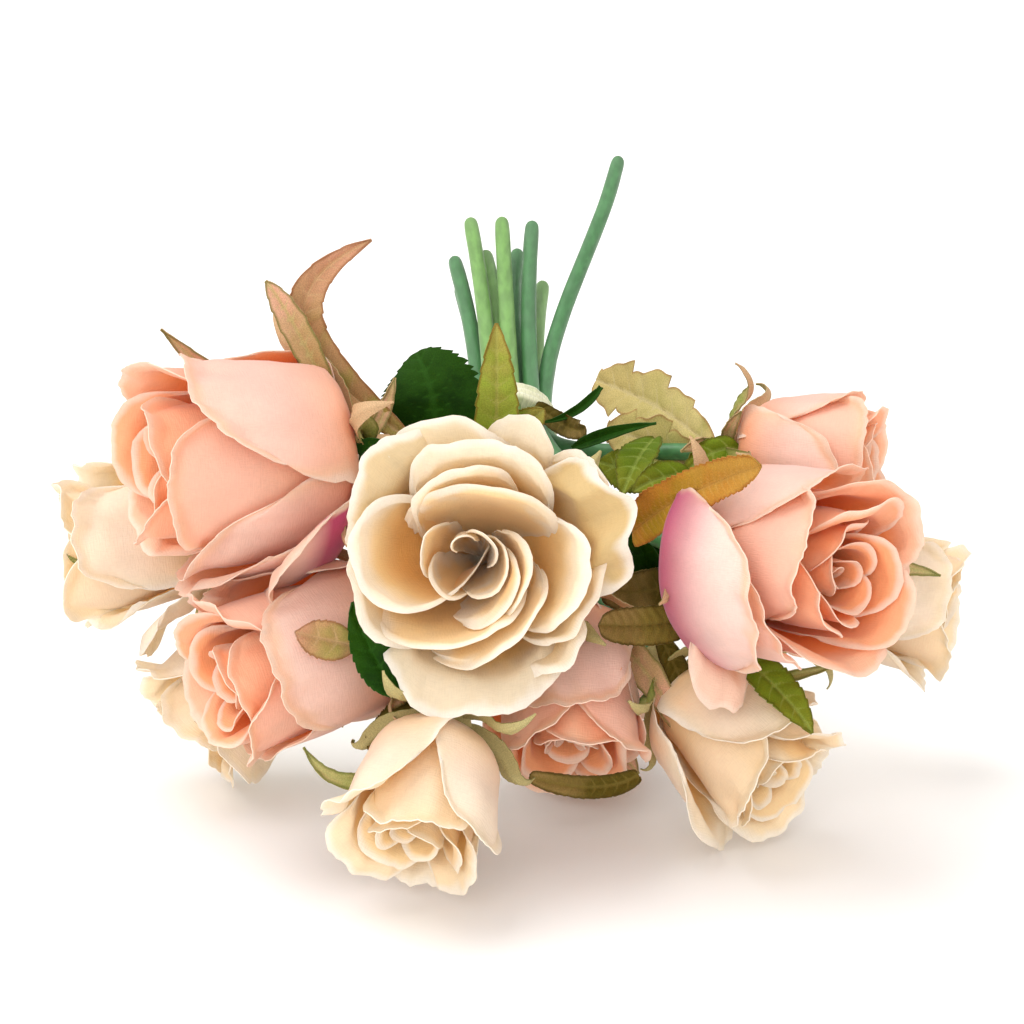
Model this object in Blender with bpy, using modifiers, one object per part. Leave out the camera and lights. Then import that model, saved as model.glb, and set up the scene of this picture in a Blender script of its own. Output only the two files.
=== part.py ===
"""A dozen silk roses tied as a hand bunch and laid down on a table.

Run it with: blender --background --python part.py

Each rose is four pieces: a plastic stem with a wire core, a moulded calyx whose five sepals hug the
bloom, a cup of outer petals, and a bud of inner petals that sits inside the cup. The stems meet in
one taped band, and eleven cloth leaves are fixed to them by their stalks.
Metres. +X is to the right of the flower heads, +Y runs from the heads to the cut stem ends, and +Z is
up. The table is z = 0, and the origin is on it, under the middle of the whole bunch.
"""

from collections import namedtuple
from math import atan2, cos, pi, radians, sin

import bmesh
import bpy
from mathutils import Vector
from mathutils.geometry import interpolate_bezier

# Driving dimensions.
CLEAR = 0.0003            # left between pieces that touch
STEM_RADIUS = 0.0026
TIP_TAPER = 0.75          # the rounded end of a stem, as a share of its radius
TIP_LENGTH = 0.0015
NECK = 0.003              # a stem leaves its calyx straight for this far
NECK_BEND = 0.010         # and then turns towards the band within about this far
PETALS = 5                # outer petals round a bloom, and sepals round a calyx
SEGMENTS = 20             # faces round a bloom, four for each petal
CALYX_LENGTH = 0.012      # from the stem's socket up to the bloom
SEPAL_THICKNESS = 0.0007
SEPAL_CLEAR = 0.0012      # a sepal lies this far off the petals
PINWHEEL = 0.07           # how far each petal's free edge stands over the next, as a share of its radius
LEAF_THICKNESS = 0.0007
STALK = 0.10              # a leaf's stalk and point are this share of its greatest width
KEEL = 0.25               # its edges stand this far above its midrib, as a share of its half width

# The band, where the stems run straight and side by side.
TIE = Vector((0.0, 0.111, 0.089))
TIE_AXIS = Vector((-0.03, 1.0, 0.20)).normalized()
BAND_WIDTH = 0.009
BAND_THICKNESS = 0.0012
BAND_RUN = 0.7 * BAND_WIDTH         # a stem is straight for this far each way from the band's middle
STEM_PITCH = 2 * STEM_RADIUS + 0.0008
INNER_RING = 0.58 * STEM_PITCH      # three stems touch round the middle
OUTER_RING = 1.52 * STEM_PITCH      # and nine lie round those
STEM_FLARE = 1.7                    # how far the cut ends open out, in ring radii
END_LEAN = 0.12                     # how far each cut end leans outwards

# The cup's outline, as shares of a bloom's radius and height, from its base to its rim.
CUP_OUTLINE = ((0.24, 0.0), (0.60, 0.10), (0.84, 0.30), (0.95, 0.56), (0.93, 0.80), (1.0, 1.0))
CUP_INSIDE = ((0.84, 0.96), (0.70, 0.78), (0.68, 0.50), (0.46, 0.26))
CUP_FLOOR = 0.20
BUD_TOP = 0.94

GREEN, DARK, OLIVE, TAN, RUST = "green", "dark_green", "olive", "tan", "rust"
COLOURS = {
    "cream": (0.90, 0.80, 0.60),
    "cream_heart": (0.88, 0.62, 0.32),
    "blush": (0.91, 0.60, 0.48),
    "blush_heart": (0.90, 0.42, 0.22),
    GREEN: (0.16, 0.30, 0.05),
    DARK: (0.02, 0.09, 0.015),
    OLIVE: (0.35, 0.36, 0.06),
    TAN: (0.60, 0.48, 0.22),
    RUST: (0.48, 0.22, 0.04),
    "stem_plastic": (0.16, 0.36, 0.16),
    "band_tape": (0.78, 0.72, 0.55),
}

# Where each bloom lies, in millimetres: its middle, the way it faces, its radius and height, its stem's
# place in the band (which ring, and degrees round it), and how far its cut end lies behind the band.
# Each is named for its place and its colour.
Rose = namedtuple("Rose", "name middle faces radius height ring angle tail")
ROSES = [
    Rose("front_cream", (-8, 4, 85), (-0.03, -1, 0.28), 31, 50, OUTER_RING, 90, 114),
    Rose("left_blush", (-69, 30, 104), (-1, -0.38, 0.04), 29, 54, OUTER_RING, 130, 122),
    Rose("right_blush", (70, 4, 84), (0.66, -0.74, 0.12), 27, 52, OUTER_RING, 50, 119),
    Rose("far_left_cream", (-102, 62, 71), (-1, -0.1, -0.1), 22, 42, OUTER_RING, 170, 112),
    Rose("low_left_blush", (-54, 16, 56), (-0.8, -0.5, -0.12), 23, 48, INNER_RING, 150, 116),
    Rose("table_left_cream", (-76, 56, 30), (-0.75, -0.3, -0.6), 21, 40, OUTER_RING, 210, 113),
    Rose("bottom_left_cream", (-22, -18, 30), (-0.25, -0.76, -0.60), 22, 40, OUTER_RING, 250, 114),
    Rose("centre_blush", (14, 25, 45), (0.05, -0.74, -0.67), 20, 42, INNER_RING, 30, 117),
    Rose("bottom_right_cream", (58, 20, 31), (0.64, -0.62, -0.45), 22, 43, INNER_RING, 270, 112),
    Rose("far_right_cream", (104, 68, 52), (0.95, -0.2, -0.15), 21, 40, OUTER_RING, 330, 115),
    Rose("back_right_blush", (82, 62, 95), (0.93, -0.3, 0.05), 21, 42, OUTER_RING, 10, 121),
    Rose("under_blush", (19, 68, 23), (0.1, -0.3, -0.95), 20, 36, OUTER_RING, 290, 110),
]
ON_TABLE = {"table_left_cream", "bottom_left_cream", "bottom_right_cream", "under_blush"}
LONG_STEM = "back_right_blush"
LONG_STEM_END = Vector((0.0355, 0.258, 0.139))

# Each leaf: the rose whose stem carries it, how far along that stem from the bloom (0) to the band (1),
# its tip, how far its middle bows out and which way, the way its upper side looks, and its width.
# Millimetres, in the same frame.
Leaf = namedtuple("Leaf", "name colour rose along tip bow looks width")
LEAVES = [
    Leaf("top_dark", DARK, "left_blush", 0.40, (-24, 68, 123), (-2, -3, 0), (-0.2, -1, 0.3), 26),
    Leaf("left_dark", DARK, "left_blush", 0.35, (-45, 34, 85), (0, -3, 0), (-0.3, -1, 0.2), 14),
    Leaf("low_dark", DARK, "bottom_left_cream", 0.02, (-36, -7, 60), (-2, 0, -5), (-0.5, -0.7, -0.2), 13),
    Leaf("top_olive", OLIVE, "front_cream", 0.35, (-4, 60, 133), (0, -4, 0), (0.1, -1, 0.3), 13),
    Leaf("right_green", GREEN, "back_right_blush", 0.25, (31, 38, 90), (0, 0, 2), (0, -0.7, 0.7), 13),
    Leaf("low_right", GREEN, "bottom_right_cream", 0.10, (77, -12, 46), (0, 0, 9), (0.3, -0.5, 0.8), 14),
    Leaf("slim_dark", DARK, "right_blush", 0.6, (38, 50, 108), (0, 0, 3), (0, -0.8, 0.6), 6),
    Leaf("back_tan", TAN, "back_right_blush", 0.05, (25, 112, 103), (3, 0, 5), (-0.1, -0.8, 0.6), 18),
    Leaf("golden", RUST, "right_blush", 0.16, (61, 0, 110), (-2, -2, 7), (-0.3, -0.7, 0.6), 14),
    Leaf("strip", OLIVE, "right_blush", 0.05, (23, -2, 74), (6, -6, -10), (0, -1, 0.2), 15),
    Leaf("curled", TAN, "left_blush", 0.12, (-37, 57, 156), (-23, 0, 4), (0.2, -1, 0.1), 9),
]


def material(colour_name):
    """The Principled material of this colour, made once."""
    found = bpy.data.materials.get(colour_name)
    if found:
        return found
    made = bpy.data.materials.new(colour_name)
    made.use_nodes = True
    shader = made.node_tree.nodes["Principled BSDF"]
    shader.inputs["Base Color"].default_value = (*COLOURS[colour_name], 1)
    shader.inputs["Roughness"].default_value = 0.45 if colour_name == "stem_plastic" else 0.8
    shader.inputs["Metallic"].default_value = 0
    made.diffuse_color = (*COLOURS[colour_name], 1)
    return made


def add_object(name, data, colour, parent):
    """A named object of this mesh or curve, in the bunch's collection."""
    made = bpy.data.objects.new(name, data)
    data.materials.append(material(colour))
    bunch.objects.link(made)
    made.parent = parent
    return made


def shaped_ball(name, rows, place):
    """A ball pressed into a closed shape. place(row, angle) gives the radius and height of a point of
    it, where row runs from 0 at the bottom pole to rows at the top pole. Each four-sided face is split
    along its shorter diagonal, so the two sides of a thin wall bend alike."""
    mesh = bmesh.new()
    bmesh.ops.create_uvsphere(mesh, u_segments=SEGMENTS, v_segments=rows, radius=1)
    for vertex in mesh.verts:
        x, y, z = vertex.co
        row = round((1 - Vector((0, 0, 1)).angle(vertex.co) / pi) * rows)
        angle = atan2(y, x) % (2 * pi)
        radius, height = place(row, angle)
        vertex.co = (radius * cos(angle), radius * sin(angle), height)
    bmesh.ops.triangulate(mesh, faces=mesh.faces, quad_method="SHORT_EDGE")
    data = bpy.data.meshes.new(name)
    mesh.to_mesh(data)
    mesh.free()
    data.shade_smooth()
    data.set_sharp_from_angle(angle=radians(50))
    return data


def petal_phase(angle):
    """How far across its own petal, from 0 to 1, a point at this angle lies."""
    return (PETALS * angle / (2 * pi) + 0.001) % 1


def pinwheel(angle):
    """The radius factor of a ring of petals, each lying over the next at its free edge."""
    return 1 + PINWHEEL * (petal_phase(angle) - 0.5)


def outline_point(share, radius, height):
    """A point (radius, height) of the cup's outline, at this share of the way from base to rim."""
    step = min(max(share, 0), 0.9999) * (len(CUP_OUTLINE) - 1)
    first, part = int(step), step % 1
    (r0, h0), (r1, h1) = CUP_OUTLINE[first], CUP_OUTLINE[first + 1]
    return Vector((radius * (r0 + (r1 - r0) * part), height * (h0 + (h1 - h0) * part)))


def off_outline(share, radius, height, stand_off):
    """A point that stands off the cup's outline, square to it."""
    along = outline_point(share + 0.08, radius, height) - outline_point(share - 0.08, radius, height)
    along.normalize()
    return outline_point(share, radius, height) + Vector((along.y, -along.x)) * stand_off


def outer_petals(name, radius, height):
    """The cup: outside up to a scalloped rim, then down its plain inside to its floor."""
    outside = [(0.0, 0.0), *CUP_OUTLINE]
    inside = [*CUP_INSIDE, (0.0, CUP_FLOOR)]
    rows = len(outside) + len(inside) - 1

    def place(row, angle):
        if row >= len(outside):
            share, rise = inside[row - len(outside)]
            return share * radius, rise * height
        share, rise = outside[row]
        scallop = 0.05 * sin(pi * petal_phase(angle)) * rise**4
        return share * radius * pinwheel(angle), (rise + scallop) * height

    return shaped_ball(name, rows, place)


def inner_petals(name, radius, height):
    """The bud: it fills the cup with a little room all round, and its top is a low spiral."""
    sides = [(share * radius - 2 * CLEAR, rise * height + CLEAR) for share, rise in reversed(CUP_INSIDE)]
    lip_radius, lip_height = sides.pop()
    outline = [
        (0.0, CUP_FLOOR * height + 2 * CLEAR),
        *sides,
        (0.92 * lip_radius, lip_height),
        (0.50 * radius, 1.0 * height),
        (0.22 * radius, BUD_TOP * height),
        (0.0, 0.90 * height),
    ]
    rows = len(outline) - 1
    first_free_row = len(sides) + 1

    def place(row, angle):
        share, rise = outline[row]
        if row < first_free_row:
            return share, rise
        fold = 0.03 * height * petal_phase(angle + row)
        return share * (1 - PINWHEEL * petal_phase(angle + row)), rise - fold

    return shaped_ball(name, rows, place)


def calyx(name, radius, height):
    """The socket for the stem, the hip above it, and five sepals that lie on the petals."""
    socket = STEM_RADIUS * 1.5
    under = [(0.0, -CALYX_LENGTH), (socket, -CALYX_LENGTH), (1.25 * socket, -0.6 * CALYX_LENGTH)]
    over = [(0.0, -CLEAR), (0.75 * CUP_OUTLINE[0][0] * radius, -CLEAR)]
    reaches = (0.0, 0.38, 0.77, 1.0)      # along a sepal, from the hip to its tip
    lift = PINWHEEL / 2 * radius          # clears the petals' free edges

    def sheet(reach, angle, thickness):
        """A point of the sepals' upper side, or of their under side if given their thickness."""
        blade = 1 - abs(2 * petal_phase(angle) - 1)
        share = reach * (0.06 + 0.46 * blade)
        rise = lift * share / 0.2 if share < 0.2 else lift
        return off_outline(share, radius, height, SEPAL_CLEAR + rise + thickness)

    rows = len(under) + 2 * len(reaches) + len(over) - 1

    def place(row, angle):
        if row < len(under):
            return under[row]
        row -= len(under)
        if row < len(reaches):
            return sheet(reaches[row], angle, SEPAL_THICKNESS * (1.6 - 0.9 * reaches[row]))
        row -= len(reaches)
        if row < len(reaches):
            return sheet(reaches[-1 - row], angle, 0)
        return over[-1 - (row - len(reaches))]

    return shaped_ball(name, rows, place)


def add_bloom(rose, parent):
    """The calyx, cup and bud of one rose, on an empty at the bloom's base that faces its way. A bloom on
    the table takes its height from its own lowest point. Gives back where the stem meets the calyx, and
    the way the bloom faces."""
    faces = Vector(rose.faces).normalized()
    radius, height = rose.radius / 1000, rose.height / 1000
    seat = bpy.data.objects.new(rose.name + "_seat", None)
    bunch.objects.link(seat)
    seat.parent = parent
    turn = faces.to_track_quat("Z", "Y")
    seat.rotation_mode = "QUATERNION"
    seat.rotation_quaternion = turn
    seat.location = Vector(rose.middle) / 1000 - faces * height / 2
    colour = rose.name.split("_")[-1]
    shapes = {
        "calyx": (calyx, GREEN),
        "outer_petals": (outer_petals, colour),
        "inner_petals": (inner_petals, colour + "_heart"),
    }
    lowest = 0
    for part, (shape, finish) in shapes.items():
        name = f"{rose.name}_{part}"
        piece = add_object(name, shape(name, radius, height), finish, seat)
        lowest = min(lowest, *((turn @ vertex.co).z for vertex in piece.data.vertices))
    if rose.name in ON_TABLE:
        seat.location.z = -lowest
    return seat.location - faces * (CALYX_LENGTH + CLEAR), faces


def stem_runs(rose, heel, faces):
    """The stem's two curves: from the calyx to the band, and from the band to the cut end."""
    side = TIE_AXIS.cross(Vector((0, 0, 1))).normalized()
    up = side.cross(TIE_AXIS)
    place = (side * cos(radians(rose.angle)) + up * sin(radians(rose.angle))) * rose.ring
    front = TIE + place - TIE_AXIS * BAND_RUN
    back = TIE + place + TIE_AXIS * BAND_RUN
    neck = heel - faces * NECK
    reach = (front - neck).length / 3
    head_run = interpolate_bezier(neck, neck - faces * NECK_BEND, front - TIE_AXIS * reach, front, 9)
    cut_end = TIE + place * STEM_FLARE + TIE_AXIS * rose.tail / 1000
    if rose.name == LONG_STEM:
        cut_end = LONG_STEM_END
    bend = (cut_end - back).length / 3
    outward = (TIE_AXIS + place.normalized() * END_LEAN).normalized()
    tail_run = interpolate_bezier(back, back + TIE_AXIS * bend, cut_end - outward * bend, cut_end, 6)
    return [heel, *head_run], tail_run


def add_stem(rose, head_run, tail_run, parent):
    """The stem: a round rod with filled ends, its last bit drawn in to a rounded tip."""
    points = head_run + tail_run
    points.insert(-1, points[-1] + (points[-2] - points[-1]).normalized() * TIP_LENGTH)
    name = rose.name + "_stem"
    data = bpy.data.curves.new(name, "CURVE")
    data.dimensions = "3D"
    data.bevel_depth = STEM_RADIUS
    data.bevel_resolution = 2
    data.use_fill_caps = True
    spline = data.splines.new("POLY")
    spline.points.add(len(points) - 1)
    for point, place in zip(spline.points, points):
        point.co = (*place, 1)
    spline.points[-1].radius = TIP_TAPER
    add_object(name, data, "stem_plastic", parent)


def add_band(parent):
    """The taped band: a short wide ring round all the stems."""
    inner = OUTER_RING + STEM_RADIUS + CLEAR
    outer = inner + BAND_THICKNESS
    half = BAND_WIDTH / 2
    corners = [(outer, half), (outer, -half), (inner, -half), (inner, half)]
    data = bpy.data.meshes.new("stem_band")
    data.from_pydata([(r, 0, z) for r, z in corners], [(0, 1), (1, 2), (2, 3), (3, 0)], [])
    band = add_object("stem_band", data, "band_tape", parent)
    screw = band.modifiers.new("turn", "SCREW")
    screw.steps = screw.render_steps = 36
    screw.use_merge_vertices = True
    screw.merge_threshold = 0.0001
    band.location = TIE
    band.rotation_mode = "QUATERNION"
    band.rotation_quaternion = TIE_AXIS.to_track_quat("Z", "Y")


def add_leaf(leaf, head_run, parent):
    """A leaf: a narrow stalk at the stem, then a pointed blade that bows and is slightly keeled."""
    place = leaf.along * (len(head_run) - 2) + 1
    first = min(int(place), len(head_run) - 2)
    joint = head_run[first].lerp(head_run[first + 1], place - first)
    run = (head_run[first + 1] - head_run[first]).normalized()
    tip = Vector(leaf.tip) / 1000
    bow = Vector(leaf.bow) / 1000
    setting_out = tip + 4 * bow - joint      # the way the bowed line starts off
    away = (setting_out - run * setting_out.dot(run)).normalized()
    start = joint + away * (STEM_RADIUS + 2 * CLEAR)
    looks = Vector(leaf.looks).normalized()
    mesh = bmesh.new()
    bmesh.ops.create_grid(mesh, x_segments=2, y_segments=7, size=0.5)
    for vertex in mesh.verts:
        u, v = 2 * vertex.co.x, vertex.co.y + 0.5
        belly = sin(pi * min(v, 1) ** 0.8) ** 0.8 if 0 < v < 1 else 0
        half_width = leaf.width / 2000 * max(STALK, belly)
        middle = start.lerp(tip, v) + bow * 4 * v * (1 - v)
        along = tip - start + bow * 4 * (1 - 2 * v)
        across = along.cross(looks).normalized()
        vertex.co = middle + (across * u + looks * abs(u) * KEEL) * half_width
    name = leaf.name + "_leaf"
    data = bpy.data.meshes.new(name)
    mesh.to_mesh(data)
    mesh.free()
    made = add_object(name, data, leaf.colour, parent)
    skin = made.modifiers.new("cloth", "SOLIDIFY")
    skin.thickness = LEAF_THICKNESS
    skin.offset = 0


def centre_on_origin(root):
    """Moves the whole bunch sideways, until its box is centred on the origin."""
    bpy.context.view_layer.update()
    graph = bpy.context.evaluated_depsgraph_get()
    points = []
    for piece in bunch.objects:
        if piece.type == "EMPTY":
            continue
        shape = piece.evaluated_get(graph)
        points += [shape.matrix_world @ vertex.co for vertex in shape.to_mesh().vertices]
        shape.to_mesh_clear()
    for axis in (0, 1):
        places = [point[axis] for point in points]
        root.location[axis] = -(min(places) + max(places)) / 2


for old in list(bpy.data.objects):
    bpy.data.objects.remove(old)
bunch = bpy.data.collections.new("silk_rose_bunch")
bpy.context.scene.collection.children.link(bunch)
root = bpy.data.objects.new("bunch_root", None)
bunch.objects.link(root)

runs = {}
for rose in ROSES:
    heel, faces = add_bloom(rose, root)
    head_run, tail_run = stem_runs(rose, heel, faces)
    add_stem(rose, head_run, tail_run, root)
    runs[rose.name] = head_run
for leaf in LEAVES:
    add_leaf(leaf, runs[leaf.rose], root)
add_band(root)
centre_on_origin(root)
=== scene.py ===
"""A bunch of twelve silk roses with taped plastic stems, lying on its side on a pale table."""
from collections import namedtuple
from math import cos, pi, radians, sin, sqrt

import bpy
import numpy as np
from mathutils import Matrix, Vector


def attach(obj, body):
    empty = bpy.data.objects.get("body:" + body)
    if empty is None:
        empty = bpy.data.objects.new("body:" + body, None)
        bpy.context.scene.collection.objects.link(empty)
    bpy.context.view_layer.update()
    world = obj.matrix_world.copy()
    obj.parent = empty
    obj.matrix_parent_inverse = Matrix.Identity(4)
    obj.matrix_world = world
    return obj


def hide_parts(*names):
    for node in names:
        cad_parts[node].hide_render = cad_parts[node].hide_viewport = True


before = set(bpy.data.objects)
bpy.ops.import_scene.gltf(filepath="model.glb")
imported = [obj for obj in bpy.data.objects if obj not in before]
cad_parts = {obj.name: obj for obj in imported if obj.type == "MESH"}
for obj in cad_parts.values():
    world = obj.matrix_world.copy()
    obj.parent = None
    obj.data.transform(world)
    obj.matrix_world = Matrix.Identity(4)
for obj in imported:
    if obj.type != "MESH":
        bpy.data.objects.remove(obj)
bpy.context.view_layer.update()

MM = 0.001                   # metres


# ----------------------------------------------------------------------------
# The stems. Each rose stands on its own rod of soft green plastic, moulded over a wire, with a cut end
# that is slightly rounded. The rods are bent by hand to meet at the tape.
# ----------------------------------------------------------------------------
STEM_GREENS = [(0.18, 0.37, 0.09), (0.070, 0.22, 0.075)]      # a yellower and a bluer batch of plastic
STEM_ROUGHNESS = 0.38
STEM_SEAM = 0.05             # corners of the plain rod nearer than this are one, mm
STEM_ROUNDING = 2            # times that each of its faces is split and rounded
YELLOW_STEMS = ("front_cream", "left_blush", "bottom_left_cream", "far_right_cream", "low_left_blush")


def add_node(tree, kind, inputs=None, **settings):
    """A shader node. Its inputs are given numbers, or linked where another node's output is given."""
    made = tree.nodes.new("ShaderNode" + kind)
    for name, value in settings.items():
        setattr(made, name, value)
    for socket, value in (inputs or {}).items():
        if isinstance(value, bpy.types.NodeSocket):
            tree.links.new(value, made.inputs[socket])
        else:
            made.inputs[socket].default_value = value
    return made


def calculated(tree, operation, first, second):
    """The sum or product of two numbers or outputs."""
    return add_node(tree, "Math", {0: first, 1: second}, operation=operation).outputs[0]


def mix_colours(tree, share, first, second):
    """The colour between first and second, by share."""
    mix = tree.nodes.new("ShaderNodeMix")
    mix.data_type = "RGBA"
    for socket, value in ((0, share), (6, first), (7, second)):
        if isinstance(value, bpy.types.NodeSocket):
            tree.links.new(value, mix.inputs[socket])
        elif socket == 0:
            mix.inputs[socket].default_value = value
        else:
            mix.inputs[socket].default_value = (*value, 1)
    return mix.outputs[2]


def fade(tree, value, start, end, low=0.0, high=1.0):
    """value's way from start to end, eased, as a number from low to high."""
    made = add_node(tree, "MapRange", {0: value, 1: start, 2: end, 3: low, 4: high})
    made.interpolation_type = "SMOOTHSTEP"
    return made.outputs[0]


def noise(tree, place, scale, detail=2.0):
    """Soft random unevenness over a surface, between 0 and 1."""
    return add_node(tree, "TexNoise", {"Vector": place, "Scale": scale, "Detail": detail}).outputs[0]


def stretched_noise(tree, place, scales, detail):
    """The same, scaled so many times along each of the place's three ways."""
    return noise(tree, add_node(tree, "Mapping", {0: place, 3: scales}).outputs[0], 1.0, detail)


def new_material(name):
    """An empty material, its node tree and its Principled shader."""
    material = bpy.data.materials.new(name)
    material.use_nodes = True
    return material, material.node_tree, material.node_tree.nodes["Principled BSDF"]


def add_finish(tree, shader, colour, bumps, strength, depth):
    """Gives the shader its colour and its bumps, of this depth in mm, and returns the bumped normal."""
    tree.links.new(colour, shader.inputs["Base Color"])
    bump = add_node(tree, "Bump", {"Height": bumps, "Strength": strength, "Distance": depth * MM})
    tree.links.new(bump.outputs[0], shader.inputs["Normal"])
    return bump.outputs[0]


def stem_plastic(name, green):
    """Satin green plastic: faint streaks along the rod, a duller bloom in patches, and fine mould lines."""
    material, tree, shader = new_material(name)
    place = add_node(tree, "NewGeometry").outputs["Position"]
    streaks = stretched_noise(tree, place, (420, 28, 420), 3.0)
    patches = noise(tree, place, 60.0)
    pale = tuple(0.8 * c + 0.06 for c in green)
    dark = tuple(0.74 * c for c in green)
    colour = mix_colours(tree, fade(tree, streaks, 0.35, 0.7), dark, green)
    colour = mix_colours(tree, fade(tree, patches, 0.45, 0.75, 0.0, 0.4), colour, pale)
    rough = fade(tree, patches, 0.3, 0.7, STEM_ROUGHNESS, STEM_ROUGHNESS + 0.15)
    tree.links.new(rough, shader.inputs["Roughness"])
    shader.inputs["Specular IOR Level"].default_value = 0.4
    add_finish(tree, shader, colour, streaks, 0.25, 0.3)
    return material


stem_finishes = [stem_plastic(f"stem_plastic_{i}", green) for i, green in enumerate(STEM_GREENS)]
for name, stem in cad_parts.items():
    if not name.endswith("_stem"):
        continue
    weld = stem.modifiers.new("weld", "WELD")
    weld.merge_threshold = STEM_SEAM * MM
    smooth = stem.modifiers.new("round", "SUBSURF")
    smooth.levels = smooth.render_levels = STEM_ROUNDING
    finish = stem_finishes[0 if name.removesuffix("_stem") in YELLOW_STEMS else 1]
    stem.data.materials.clear()
    stem.data.materials.append(finish)
    stem.data.shade_smooth()


# ----------------------------------------------------------------------------
# The petals. Each rose is a nest of cut petals of woven silk cloth, dyed deep at the foot and pale at
# the lip, pressed to a curve and threaded on the stem from the heart outwards, each lip rolled over.
# The deep warm colour down in the cup and at the heart is partly painted warm light and shade.
# ----------------------------------------------------------------------------
CLOTH = 0.28                 # thickness of the petal cloth, mm
CLOTH_STEP = 1.25            # the petals' grid across the cloth, mm
HALF_COLUMNS = (7, 32)       # the fewest and the most columns of it on each side of the middle
PETAL_ROWS = 12              # rows of the grid up to the lip
LIP_ROWS = 14                # and over it
FOOT_ROW = 0.02              # where the grid starts, as a share of the petal's length
USUAL_RADIUS = 30            # of the bloom that a petal's sizes in mm are given for, mm
CORNER_DROP = 0.40           # how much shorter a petal's cloth is at its side edges than in its middle
FOOT_WIDTH = 0.72            # its width at the foot, as a share of its greatest width
TOP_NARROWING = 0.20         # how much of that width it loses at the top
BARREL = 0.12                # how far its side turns in again between the bowl and the lip, radians
EDGE_START = 0.84            # where its side edges start to turn out, as a share of its half width
EDGE_TURN = 0.3              # and how far they turn, radians
CUT_ANGLE = 65               # degrees between two faces from which the corner between them stays sharp
BUD_REACH = 0.3              # petals nearer to the middle than this share of the radius are the bud

# A petal: where its middle lies round the bloom, in degrees clockwise from the top as seen from the
# front; how far it stands from the middle where its lip starts, and how high its lip comes, as shares of
# the bloom's radius and height; half the angle that it wraps; how far its side leans out, and how far its
# lip turns over, in degrees; then, in mm for a bloom of the usual radius, the length of its lip, how much
# further out its clockwise edge stands than its other edge, how far out both edges stand, and its
# ruffles' depth. Some have a stain of dye at the foot.
Petal = namedtuple("Petal", "turn reach top wrap lean roll lip swirl open ruffle stain", defaults=(0,))

# The front rose is fully open, and each of its petals is set one by one, from the heart outwards.
FULL_BLOOM = [
    Petal(330, 0.10, 0.95, 100, 3, 20, 1.5, 1.0, 0, 0.5),
    Petal(60, 0.17, 0.94, 75, 8, 25, 2.0, 1.0, 0, 0.6),
    Petal(235, 0.34, 0.86, 52, 14, 35, 1.8, 1.0, 0, 0.6),
    Petal(285, 0.50, 0.89, 50, 16, 12, 1.0, 1.0, 0, 0.8),
    Petal(115, 0.23, 0.93, 85, 12, 30, 2.0, 1.5, 0, 0.6),
    Petal(130, 0.30, 0.93, 76, 14, 50, 4.0, 4.0, 3, 0.6),
    Petal(105, 0.39, 0.93, 88, 14, 45, 2.4, 2.0, 2.5, 0.6),
    Petal(4, 0.44, 0.95, 78, 22, 44, 3.0, 0.5, 8, 0.7),
    Petal(265, 0.92, 0.97, 70, 32, 50, 3.0, 11.0, -11, 0.8),
    Petal(180, 0.56, 0.94, 90, 20, 42, 2.0, 10.0, 10, 0.6),
    Petal(150, 0.62, 0.95, 68, 22, 44, 2.4, 5.5, 7, 0.7),
    Petal(345, 0.74, 0.96, 56, 26, 42, 2.8, 1.0, 2, 0.9),
    Petal(100, 0.85, 0.97, 58, 28, 50, 3.4, -1.5, 1.5, 1.1, 0.1),
    Petal(2, 0.92, 0.95, 66, 26, 56, 5.0, 0, 1.5, 1.1, 0.1),
    Petal(115, 0.97, 0.86, 50, 26, 44, 3.0, -4.0, 0, 1.4, 0.5),
    Petal(250, 1.03, 0.88, 48, 26, 54, 3.2, 1.0, 0, 1.4, 0.2),
    Petal(310, 1.00, 0.84, 52, 26, 66, 10, 1.0, 0, 1.8, 0.7),
    Petal(138, 1.02, 0.82, 30, 24, 54, 5.0, 0, 0, 1.6, 0.3),
    Petal(182, 0.99, 0.86, 70, 25, 62, 10.5, 1.0, 0, 1.4, 0.35),
    Petal(70, 0.98, 0.87, 46, 24, 80, 12, 0, 0, 2.6, 0.9),
    Petal(345, 0.98, 0.82, 44, 24, 74, 10, -2.5, 0, 1.8, 0.5),
    Petal(18, 1.06, 0.79, 22, 22, 45, 8, 0, 0, 2.4),
    Petal(50, 1.18, 0.80, 20, 22, 40, 6, 0, 0, 2.6),
]

# The others are made of whorls of like petals: how many, where the first lies, then as a petal from its
# reach on. The blush roses are deep cups with large flat outer petals, the cream ones open more loosely.
BLUSH_CUP = [
    (1, 20, 0.06, 0.82, 170, 1, 12, 3, 1.0, 0, 0.4),
    (2, 75, 0.15, 0.85, 120, 3, 18, 3, 1.4, 0, 0.5),
    (3, 40, 0.27, 0.90, 95, 5, 26, 4, 1.8, 0, 0.6),
    (3, 100, 0.42, 0.95, 86, 6, 36, 5, 2.2, 0, 0.8),
    (3, 10, 0.59, 0.99, 78, 6, 42, 6, 2.4, 0, 1.0),
    (3, 60, 0.77, 0.96, 74, 6, 46, 7, 2.2, 0, 1.4),
    (3, 0, 0.89, 0.80, 70, 4, 26, 6, 2.0, 0, 1.8),
]
CREAM_CUP = [
    (1, 20, 0.07, 0.82, 170, 1, 12, 3, 1.0, 0, 0.4),
    (2, 75, 0.18, 0.86, 110, 4, 20, 4, 1.4, 0, 0.6),
    (3, 40, 0.33, 0.91, 88, 7, 32, 5, 1.8, 0, 1.0),
    (3, 100, 0.52, 0.96, 78, 8, 44, 7, 2.4, 0, 1.5),
    (3, 10, 0.72, 0.98, 72, 8, 50, 9, 2.4, 0, 2.2),
    (3, 70, 0.90, 0.88, 64, 8, 42, 10, 1.8, 0, 2.6),
]


def smooth_step(x):
    """0 up to 0, 1 from 1, and eased between."""
    x = np.clip(x, 0, 1)
    return x * x * (3 - 2 * x)


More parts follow.
